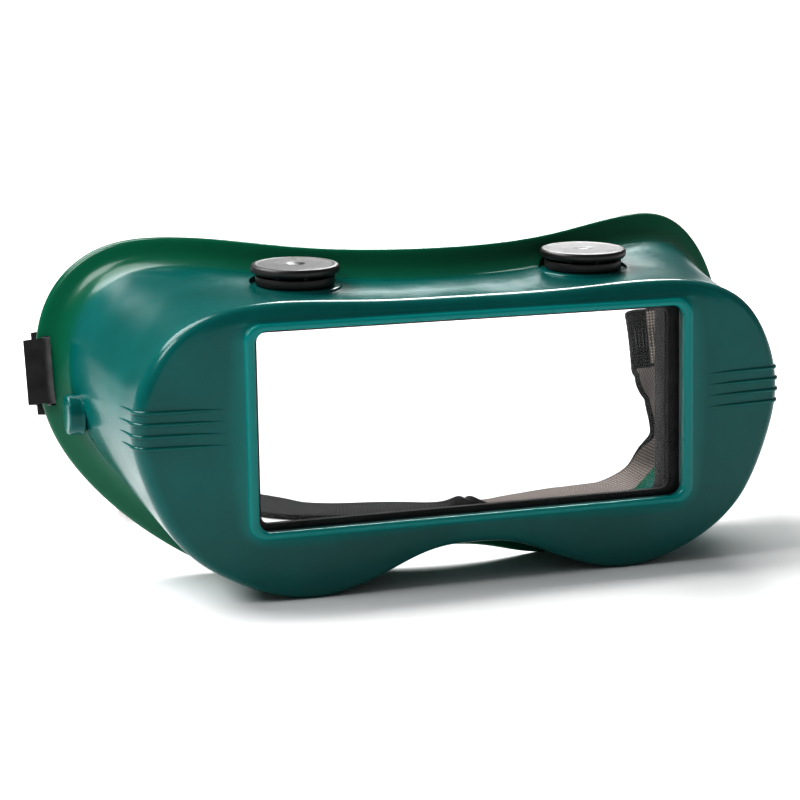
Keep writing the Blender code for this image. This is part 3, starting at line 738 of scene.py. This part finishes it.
REBATE_BACK, CHEEK_BACK = 9.9, 16.5
OPEN_W, OPEN_H, RIM_R = 104.4, 48.9, 0.8
CHEEK_FROM, CHEEK_RAMP = 44.0, 6.0  # where the rails deepen into the cheeks
holder_front = LIP_BACK + GAP


def outer(grow):
    return rounded_rect(HOLDER_W + grow, HOLDER_H + grow, 2.0)


def inner(grow):
    return rounded_rect(OPEN_W + grow, OPEN_H + grow, 2.5)


rebate = rounded_rect(108.4, 50.4, 1.2)
cheek = np.clip((np.abs(inner(0.0)[:, 0]) - CHEEK_FROM) / CHEEK_RAMP, 0, 1)
back = RAIL_BACK + (CHEEK_BACK - RAIL_BACK) * ease(cheek)
holder_rings = [in_space(outer(-0.5), holder_front), in_space(outer(0.0), holder_front + 0.25)]
for a in np.radians(np.arange(0, 91, 22.5)):
    holder_rings.append(in_space(outer(-2 * RIM_R * (1 - cos(a))),
                                 back - RIM_R * (1 - sin(a))))
for a in np.radians(np.arange(90, -1, -22.5)):
    holder_rings.append(in_space(inner(2 * RIM_R * (1 - cos(a))),
                                 back - RIM_R * (1 - sin(a))))
holder_rings += [in_space(inner(0.0), REBATE_BACK + 0.2), in_space(inner(0.4), REBATE_BACK),
                 in_space(rebate, REBATE_BACK), in_space(rebate, holder_front)]
verts, faces = loft(holder_rings)
holder = new_piece("plate_holder", world(verts), faces, holder_mat)
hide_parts("lens_holder")
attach(holder, "goggles")

# clear polycarbonate with faint wiping marks; its faces let the light straight through and
# its cut edges are painted near-black and opaque, a painted reflection of the black holder round
# them
CLEAR_ALPHA = 0.07
plate_mat, nodes, links, shader = finish_material(
    "clear_plate", IOR=1.46, Specular_IOR_Level=1.0, Roughness=0.0)
where = nodes.new("ShaderNodeTexCoord").outputs["Object"]
stretch = nodes.new("ShaderNodeMapping")
stretch.inputs["Scale"].default_value = (40.0, 40.0, 260.0)
stretch.inputs["Rotation"].default_value = (0.0, 0.35, 0.0)
links.new(where, stretch.inputs["Vector"])
smear = noise(nodes, links, stretch.outputs["Vector"], 1.0, 6.0, 0.7)
facing = nodes.new("ShaderNodeSeparateXYZ")
links.new(nodes.new("ShaderNodeTexCoord").outputs["Normal"], facing.inputs["Vector"])
across = math_node(plate_mat.node_tree, "ABSOLUTE", facing.outputs["Y"])
is_face = math_node(plate_mat.node_tree, "GREATER_THAN", across, 0.9)
ramp = colour_ramp(nodes, [(0.4, (0.010, 0.014, 0.013)), (0.8, (0.05, 0.06, 0.058))])
links.new(smear, ramp.inputs["Fac"])
# painted reflection: near-black on the cut edges; the wiping marks go on the faces
links.new(blend_colours(nodes, links, is_face, (0.002, 0.004, 0.003),
                        ramp.outputs["Color"]), shader.inputs["Base Color"])
links.new(math_node(plate_mat.node_tree, "MULTIPLY_ADD", is_face, CLEAR_ALPHA - 1.0, 1.0),
          shader.inputs["Alpha"])
rubber_mat = grained(
    "gasket_rubber", [(0.3, (0.006, 0.006, 0.006)), (0.7, (0.02, 0.02, 0.019))],
    (400.0, 8.0), ((90.0,), 0.7, 0.9), [((3000.0, 3.0), 0.00005, 0.5)], IOR=1.5)
for node, mat in (("cover_plate_front", plate_mat), ("cover_plate_rear", plate_mat),
                  ("spacer_gasket", rubber_mat)):
    frame["nodes"][node].data.materials.clear()
    frame["nodes"][node].data.materials.append(mat)


# ---------------------------------------------------------------- vents
# Two mushroom vents of black ABS snap into the collars on the brow. Each is a flanged sleeve
# with a spoked hub, a domed cap pressed into the hub so air slips out under its rim, and a
# light baffle disc below that keeps sparks and glare out.
vent_mat = grained(
    "vent_abs", [(0.35, (0.004, 0.0036, 0.003)), (0.7, (0.010, 0.009, 0.008))],
    (140.0, 7.0, 0.65), ((220.0, 5.0), 0.34, 0.5),
    [((1800.0, 2.0), 0.00005, 0.4), ((130.0, 2.0), 0.0002, 0.25)],
    IOR=1.52, Specular_IOR_Level=0.45, Coat_Weight=0.05, Coat_Roughness=0.25)

post_tree, given, out = new_tree("vent_posts", [
    ("Count", "Int"), ("Ring Radius", "Float"), ("Post Size", "Vector"), ("Height", "Float"),
    ("Material", "Material")])
ring_node = add_node(post_tree, "MeshCircle", Vertices=given.outputs["Count"],
                     Radius=given.outputs["Ring Radius"])
post = add_node(post_tree, "MeshCube", Size=given.outputs["Post Size"])
turn = post_tree.nodes.new("FunctionNodeAlignRotationToVector")
turn.axis = "X"
turn.pivot_axis = "Z"
post_tree.links.new(add_node(post_tree, "InputPosition").outputs["Position"],
                    turn.inputs["Vector"])
spread = add_node(post_tree, "InstanceOnPoints", Points=ring_node.outputs["Mesh"],
                  Instance=post.outputs["Mesh"], Rotation=turn.outputs["Rotation"])
raise_by = post_tree.nodes.new("ShaderNodeCombineXYZ")
post_tree.links.new(given.outputs["Height"], raise_by.inputs["Z"])
lifted = add_node(post_tree, "Transform", Geometry=spread.outputs["Instances"],
                  Translation=raise_by.outputs["Vector"])
close_tree(post_tree, given, out, lifted.outputs["Geometry"])

CAP_R, WAIST_R, CAP_UNDER = 10.4, 9.3, 2.9
POST_COUNT, POST_SIZE, POST_RING_R = 8, (0.0014, 0.0009, 0.0012), 8.1
for side, tag in ((-1, "left"), (1, "right")):
    axes = vent_axes(side)
    body = [(6.2, -6.6), (6.2, 2.3), (WAIST_R, 2.3), (WAIST_R, GAP), (8.1, GAP),
            (8.1, -5.0), (9.5, -5.2), (9.5, -6.0), (8.6, -6.6)]
    rounded = softened([body[-1]] + body + [body[0]], 0.3, 2)[1:-1]
    sleeve = lathe("vent_sleeve_" + tag, rounded, axes, vent_mat, 96)
    for turned in (0.0, pi / 2):
        spoke_axes = axes @ Matrix.Rotation(turned, 4, "Z")
        combine(sleeve, block("spoke", (-6.7, -1.1, -1.2), (6.7, 1.1, 0.8), spoke_axes), "UNION")
    hub = lathe("hub", [(0, -1.5), (3.6, -1.5), (3.6, 1.1), (0, 1.1)], axes, None, 48)
    combine(sleeve, hub, "UNION")
    bore = lathe("bore", [(0, -3.0), (2.3, -3.0), (2.3, 2.0), (0, 2.0)], axes, None, 48)
    combine(sleeve, bore, "DIFFERENCE")
    refinish(sleeve, vent_mat, 35)
    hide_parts("vent_body_" + tag)
    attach(sleeve, "goggles")

    cap = softened([(0, 4.55), (1.2, 4.58), (2.2, 4.95), (CAP_R - 1.6, 4.9), (CAP_R - 1.2, 5.0),
                    (CAP_R - 0.35, 4.9), (CAP_R, 4.4), (CAP_R, 3.4), (CAP_R - 0.5, CAP_UNDER),
                    (CAP_R - 1.4, CAP_UNDER), (CAP_R - 1.8, 3.3), (3.0, 3.3), (2.0, 2.6),
                    (2.0, -2.3), (1.6, -2.6), (0, -2.6)], 0.35, 3)
    cap_piece = lathe("vent_cap_shell_" + tag, cap, axes, vent_mat, 96)
    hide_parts("vent_cap_" + tag)
    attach(cap_piece, "goggles")

    disc = softened([(0, -2.9), (5.6, -2.9), (5.6, -4.1), (0, -4.1)], 0.3, 2)
    disc_piece = lathe("vent_disc_" + tag, disc, axes, vent_mat, 72)
    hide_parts("vent_baffle_" + tag)
    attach(disc_piece, "goggles")

    posts = run_tree("vent_posts_" + tag, post_tree, {
        "Count": POST_COUNT, "Ring Radius": POST_RING_R * MM, "Post Size": POST_SIZE,
        "Height": (CAP_UNDER - 0.15) * MM, "Material": vent_mat}, axes=axes)
    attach(posts, "goggles")


# ---------------------------------------------------------------- strap clips and loops
# A black nylon hook snaps over the edge bar at each side of the flange and carries a rod for
# the headband. The band's end goes round the rod and is sewn to itself with close rows of
# black thread, so hook and loop swing together.
CLIP_LEN, BAND_W, BAND_T, LOOP_TAIL = 15.6, 16.0, 1.5, 12.0
nylon_mat = grained(
    "clip_nylon", [(0.3, (0.002, 0.002, 0.002)), (0.75, (0.007, 0.007, 0.0075))],
    (260.0, 6.0), ((180.0,), 0.3, 0.5), [((1500.0, 3.0), 0.00006, 0.35)],
    IOR=1.53, Specular_IOR_Level=0.3)

# woven elastic: ribs along it, fine picks across it, one face black and one pale
band_mat, nodes, links, shader = finish_material(
    "woven_elastic", Sheen_Weight=0.06, Sheen_Roughness=0.4, Specular_IOR_Level=0.2)
shader.inputs["Sheen Tint"].default_value = (0.6, 0.6, 0.6, 1.0)
lie = nodes.new("ShaderNodeUVMap")
lie.uv_map = "weave"
split = nodes.new("ShaderNodeSeparateXYZ")
links.new(lie.outputs["UV"], split.inputs["Vector"])


def ripple(tree, source, pitch):
    """A smooth 0..1 wave along one direction of the weave."""
    wave = math_node(tree, "SINE", math_node(tree, "MULTIPLY", source, 2 * pi / pitch))
    return math_node(tree, "MULTIPLY_ADD", wave, 0.5, 0.5)


PICK_PITCH, CORD_PITCH = 0.0009, 0.0008
crossing = math_node(band_mat.node_tree, "MULTIPLY",
                     ripple(band_mat.node_tree, split.outputs["X"], PICK_PITCH),
                     ripple(band_mat.node_tree, split.outputs["Y"], CORD_PITCH))
fuzz = noise(nodes, links, lie.outputs["UV"], 2600.0, 4.0)
# the attribute marks the band's pale face; the other face is black
pale = nodes.new("ShaderNodeAttribute")
pale.attribute_name = "pale_face"
black_ramp = colour_ramp(nodes, [(0.0, (0.002, 0.002, 0.002)), (0.6, (0.006, 0.006, 0.006)),
                                 (1.0, (0.013, 0.013, 0.013))])
links.new(crossing, black_ramp.inputs["Fac"])
pale_ramp = colour_ramp(nodes, [(0.0, (0.12, 0.10, 0.09)), (0.5, (0.30, 0.25, 0.23)),
                                (1.0, (0.48, 0.42, 0.39))])
links.new(crossing, pale_ramp.inputs["Fac"])
weave = blend_colours(nodes, links, pale.outputs["Fac"], black_ramp.outputs["Color"],
                      pale_ramp.outputs["Color"])
links.new(weave, shader.inputs["Base Color"])
links.new(remap(nodes, links, fuzz, 0.6, 0.85), shader.inputs["Roughness"])
knit = bump(nodes, links, crossing, 0.00025, 0.7)
links.new(bump(nodes, links, fuzz, 0.0001, 0.4, knit), shader.inputs["Normal"])

thread_mat = grained(
    "black_thread", [(0.3, (0.006, 0.006, 0.006)), (0.7, (0.03, 0.03, 0.032))],
    (3000.0,), ((500.0,), 0.5, 0.75), [((5000.0,), 0.00005, 0.6)], Sheen_Weight=0.3)


def strip_section(half_w, half_t, ribs=9, per_rib=4):
    """Section of the band: (across, through, pale side, weave v) round both faces."""
    pts, steps = [], ribs * per_rib
    for face in (1, -1):
        for i in range(steps + 1):
            f = -1 + 2 * i / steps
            swell = 0.06 * cos(f * ribs * pi)
            across = face * f * (half_w - 0.25)
            pts.append((across, face * (half_t - 0.05 + swell * half_t / 0.75),
                        face < 0 and abs(f) < 0.93, across * MM))
        for less, through in ((0.06, 0.55), (0.0, 0.0), (0.06, -0.55)):
            pts.append((face * (half_w - less), face * half_t * through, False,
                        face * half_w * MM))
    return pts


def strip_piece(name, lines, widths, thicks, scale_w, scale_t, start_u):
    """A band through places in mm with its width and thickness directions and scales."""
    base = strip_section(BAND_W / 2, BAND_T / 2)
    across = np.array([p[0] for p in base])
    through = np.array([p[1] for p in base])
    rings = [c + np.outer(across * sw, w) + np.outer(through * st, n)
             for c, w, n, sw, st in zip(lines, widths, thicks, scale_w, scale_t)]
    verts, faces = loft(rings, closed=False)
    obj = new_piece(name, world(verts), faces, band_mat, 60.0)
    mesh, n = obj.data, len(base)
    u = start_u + distances(lines) * MM
    index = np.empty(len(mesh.loops), int)
    mesh.loops.foreach_get("vertex_index", index)
    v = np.array([p[3] for p in base])
    uv = mesh.uv_layers.new(name="weave")
    uv.data.foreach_set("uv", np.stack([u[index // n], v[index % n]], axis=1).ravel())
    pale_value = np.tile([float(p[2]) for p in base], len(lines))
    mesh.attributes.new("pale_face", "FLOAT", "POINT").data.foreach_set(
        "value", pale_value.astype(np.float32))
    return obj


stitch_tree, given, out = new_tree("stitch_rows", [
    ("Rows", "Int"), ("Stitches", "Int"), ("Row Length", "Float"), ("Row Spread", "Float"),
    ("Stitch", "Vector"), ("Material", "Material")])
grid = add_node(stitch_tree, "MeshGrid", Size_X=given.outputs["Row Spread"],
                Size_Y=given.outputs["Row Length"], Vertices_X=given.outputs["Rows"],
                Vertices_Y=given.outputs["Stitches"])
bead_shape = add_node(stitch_tree, "MeshUVSphere", Segments=8, Rings=5, Radius=0.5)
place_on = add_node(stitch_tree, "InstanceOnPoints", Points=grid.outputs["Mesh"],
                    Instance=bead_shape.outputs["Mesh"], Scale=given.outputs["Stitch"])
close_tree(stitch_tree, given, out, place_on.outputs["Instances"])

ROD_OUT, ROD_BACK, ROD_R = 1.6, 9.6, 1.0
STITCH_ROWS = {"Rows": 13, "Stitches": 4, "Row Length": 0.0042, "Row Spread": 0.0136,
               "Stitch": (0.00032, 0.0013, 0.00026), "Material": thread_mat}
for side, tag in ((-1, "left"), (1, "right")):
    axes = temple_axes(side)
    h = CLIP_LEN / 2
    # a tube round the slot bar with a mouth to snap on by, and two arms for the rod
    hook = block("strap_hook_" + tag, (-2.6, -2.7, -h), (2.6, 2.7, h), axes)
    combine(hook, block("bore", (-1.6, -1.7, -20), (1.6, 1.7, 20), axes), "DIFFERENCE")
    combine(hook, block("mouth", (-4.0, 1.6, -20), (-0.5, 3.6, 20), axes), "DIFFERENCE")
    bar = BAND_W / 2 + 0.5
    arm = bar + 1.5
    combine(hook, block("back", (0.0, 2.1, -arm), (2.7, 4.6, arm), axes), "UNION")
    for sign in (-1, 1):
        low, high = sorted((sign * bar, sign * arm))
        combine(hook, block("arm", (0.5, 2.6, low), (2.7, 11.0, high), axes), "UNION")
    bevel = hook.modifiers.new("edges", "BEVEL")
    bevel.width = 0.35 * MM
    bevel.segments = 3
    bevel.limit_method = "ANGLE"
    bevel.angle_limit = radians(40)
    hook.data = shaped_mesh(hook)
    hook.modifiers.clear()
    rod_axes = axes @ Matrix.Translation((ROD_OUT, ROD_BACK, 0))
    rod = softened([(0, 0.3 - arm), (ROD_R, 0.3 - arm), (ROD_R, arm - 0.3), (0, arm - 0.3)], 0.1)
    rod_piece = lathe("rod", rod, rod_axes, None, 32)
    combine(hook, rod_piece, "UNION")
    refinish(hook, nylon_mat, 35)
    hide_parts("strap_clip_" + tag)
    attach(hook, "clip_" + tag)

    r = ROD_R + GAP + BAND_T / 2
    lay = BAND_T / 2 + 0.05
    turn_in = np.linspace(0, 1, 9)[1:-1]
    path = [(lay, LOOP_TAIL - 0.15), (lay, 9.0), (lay + 0.05, 6.5)]
    path += [(lay + (r - lay) * (3 * t ** 2 - 2 * t ** 3), 5.5 * (1 - t) + 0.4 * t)
             for t in turn_in]
    path += [(r * cos(a), r * sin(a)) for a in np.radians(np.arange(0, -181, -12))]
    path += [(-x, y) for x, y in path[::-1] if y > 0.1]
    path[-1] = (-lay, LOOP_TAIL - 0.15)
    line = np.array([rod_axes @ Vector((x, y, 0)) for x, y in path])
    tangent = unit(np.gradient(line, axis=0))
    wide = np.tile(np.array(axes.to_3x3() @ Vector((0, 0, 1))), (len(line), 1))
    thick = np.cross(tangent, wide) * side
    ones = np.ones(len(line))
    loop = strip_piece("sewn_loop_" + tag, line, wide, thick,
                       ones * 0.995, ones * 0.96, 0.0)
    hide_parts("strap_loop_" + tag)
    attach(loop, "clip_" + tag)

    for face in (-1, 1):
        seam_axes = rod_axes @ Matrix.Translation(
            (face * (2 * lay + 0.02), 8.9, 0)) @ Matrix.Rotation(radians(90), 4, "Y") \
            @ Matrix.Rotation(radians(90), 4, "Z")
        seam = run_tree("loop_stitches_%s_%s" % (tag, "out" if face > 0 else "in"),
                        stitch_tree, STITCH_ROWS, axes=seam_axes)
        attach(seam, "clip_" + tag)


# ---------------------------------------------------------------- headband and slide
# A 16 mm woven elastic band hangs from the two clips and lies on the table behind the frame.
# It makes one half turn on the table and one back where it rises on the right, so its pale
# face shows between them. A three-bar nylon slide on the left run takes up its length.
BAND_STEP = 0.75                # length of one section of the band
TABLE_TURN_X, TABLE_TURN_LEN, TABLE_GATHER = 25.5, 1.4, 9.0
RISE_TURN_AT, RISE_TURN_LEN, RISE_GATHER = (85.5, 87, 9.5), 3.2, 12.0
SLIDE_X, SLIDE_Y, SLIDE_LOW, SLIDE_HIGH, SLIDE_LEN = -44.0, 114.9, 2.1, 3.7, 15.0
HUMP_HALF, HUMP_H = 4.6, 4.0    # where the band goes over the slide's middle bar
# places in mm, then the direction of the band's width there
BAND_ROUTE = np.array([
    (-78.6, 76.1, 43.4,  0, 0.24, 0.97), (-72.8, 83.9, 41.5,  -0.1, 0.26, 0.95),
    (-68.5, 94, 28,  -0.5, 0.42, 0.75), (-64, 104, 11,  -0.5, 0.75, 0.4),
    (-57, 113, 1.8,  -0.2, 0.95, 0.05), (-50, 114.7, 0.9,  0, 1, 0),
    (-38, 115.1, 0.9,  0, 1, 0), (-31, 114.0, 0.9,  0.1, 1, 0),
    (-24, 104, 0.9,  0.6, 0.6, 0), (-19, 94, 0.9,  0.7, 0.6, 0),
    (-10, 87.5, 0.9,  0.35, 0.95, 0), (4, 83.2, 0.9,  0.2, 1, 0),
    (14, 79, 0.9,  0.2, 1, 0), (24, 76.5, 0.9,  0, 1, 0),
    (37, 76.5, 0.9,  -0.1, 1, 0), (56, 81.5, 0.9,  -0.2, 1, 0),
    (72, 84, 1.0,  0, 1, 0.02), (82, 85.5, 4.5,  0.2, 0.9, 0.25),
    (87.5, 88, 14,  0.3, 0.6, 0.6), (86, 89.5, 27,  0.1, 0.4, 0.85),
    (80.5, 87, 37,  0, 0.3, 0.95), (75.7, 80.2, 42.4,  0, 0.24, 0.97),
    (78.6, 76.1, 43.4,  0, 0.24, 0.97)])
LEFT_STRETCH, RIGHT_STRETCH = 5, 6  # places of the route in each hanging end


def read_route(step):
    """Even sections of the whole band: place, width direction, and place in the route."""
    pos, wide = BAND_ROUTE[:, :3], BAND_ROUTE[:, 3:]
    chord = distances(pos, 0.5)
    slopes, turns = np.gradient(pos, chord, axis=0), np.gradient(wide, chord, axis=0)

    def read(values, tangents, at):
        k = np.clip(np.searchsorted(chord, at, side="right") - 1, 0, len(chord) - 2)
        h = (chord[k + 1] - chord[k])[:, None]
        u = ((at - chord[k]) / h[:, 0])[:, None]
        return ((2 * u ** 3 - 3 * u ** 2 + 1) * values[k] + (u ** 3 - 2 * u ** 2 + u) * h
                * tangents[k] + (3 * u ** 2 - 2 * u ** 3) * values[k + 1]
                + (u ** 3 - u ** 2) * h * tangents[k + 1])

    dense = np.linspace(0, chord[-1], 6000)
    line = read(pos, slopes, dense)
    length = distances(line)
    even = np.linspace(0, length[-1], int(length[-1] / step) + 1)
    at = np.interp(even, length, dense)
    cuts = [int(np.argmin(np.abs(at - chord[k])))
            for k in (LEFT_STRETCH, len(chord) - 1 - RIGHT_STRETCH)]
    return read(pos, slopes, at), read(wide, turns, at), even, cuts


line, width, arc, cuts = read_route(BAND_STEP)
over_slide = np.clip(1 - np.abs(line[:, 0] - SLIDE_X) / HUMP_HALF, 0, 1) * (line[:, 2] < 3)
line[:, 2] += HUMP_H * (0.5 - 0.5 * np.cos(pi * np.clip(over_slide * 1.6, 0, 1)))
tangent = unit(np.gradient(line, axis=0))
width = unit(width - tangent * np.sum(width * tangent, axis=1)[:, None])
thick = np.cross(tangent, width)
on_table = line[:, 2] < 3
from_turn = arc - arc[np.argmin(np.abs(line[:, 0] - TABLE_TURN_X) + 100 * ~on_table)]
from_rise = arc - arc[np.argmin(np.linalg.norm(line - RISE_TURN_AT, axis=1))]
turned = (pi / (1 + np.exp(-from_turn / TABLE_TURN_LEN))
          + pi / (1 + np.exp(-from_rise / RISE_TURN_LEN)))
gather = (np.exp(-(from_turn / TABLE_GATHER) ** 2)
          + 0.45 * np.exp(-(from_rise / RISE_GATHER) ** 2))
width, thick = (width * np.cos(turned)[:, None] + thick * np.sin(turned)[:, None],
                thick * np.cos(turned)[:, None] - width * np.sin(turned)[:, None])
scale_w, scale_t = 1 - 0.78 * gather, 1 + 0.6 * gather
reach = np.abs(width[:, 2]) * BAND_W / 2 * scale_w + np.abs(thick[:, 2]) * BAND_T / 2 * scale_t
line[:, 2] = np.maximum(line[:, 2], reach + 0.06)
pieces = {"headband_run_left": (0, cuts[0], "headband_left"),
          "headband_run_back": (cuts[0], cuts[1], "headband_back"),
          "headband_run_right": (cuts[1], len(line) - 1, "headband_right")}
runs = {}
for name, (first, last, node) in pieces.items():
    part = slice(first, last + 1)
    runs[name] = strip_piece(name, line[part], width[part], thick[part], scale_w[part],
                             scale_t[part], arc[first] * MM)
    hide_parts(node)
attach(runs["headband_run_back"], "goggles")
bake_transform(runs["headband_run_left"])
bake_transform(runs["headband_run_right"])

slide_reach = BAND_W / 2 + 0.5
slide_rings = []
for grow, z in ((-0.6, SLIDE_LOW), (0.0, SLIDE_LOW + 0.3), (0.0, SLIDE_HIGH - 0.3),
                (-0.6, SLIDE_HIGH)):
    ring = rounded_rect(SLIDE_LEN + grow, 2 * (slide_reach + 1.8) + grow, 1.6, 144)
    slide_rings.append(np.stack([ring[:, 0] + SLIDE_X, ring[:, 1] + SLIDE_Y,
                                 np.full(len(ring), z)], axis=1))
verts, faces = loft(slide_rings, closed=False)
slide = new_piece("slide_adjuster", world(verts), faces, nylon_mat)
for sign in (-1, 1):
    a, b = sorted((SLIDE_X + sign * 1.0, SLIDE_X + sign * 5.4))
    combine(slide, block("slot", (a, SLIDE_Y - slide_reach, SLIDE_LOW - 2),
                         (b, SLIDE_Y + slide_reach, SLIDE_HIGH + 2)), "DIFFERENCE")
refinish(slide, nylon_mat, 40)
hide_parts("strap_slide")
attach(slide, "goggles")


# ---------------------------------------------------------------- size
low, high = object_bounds()
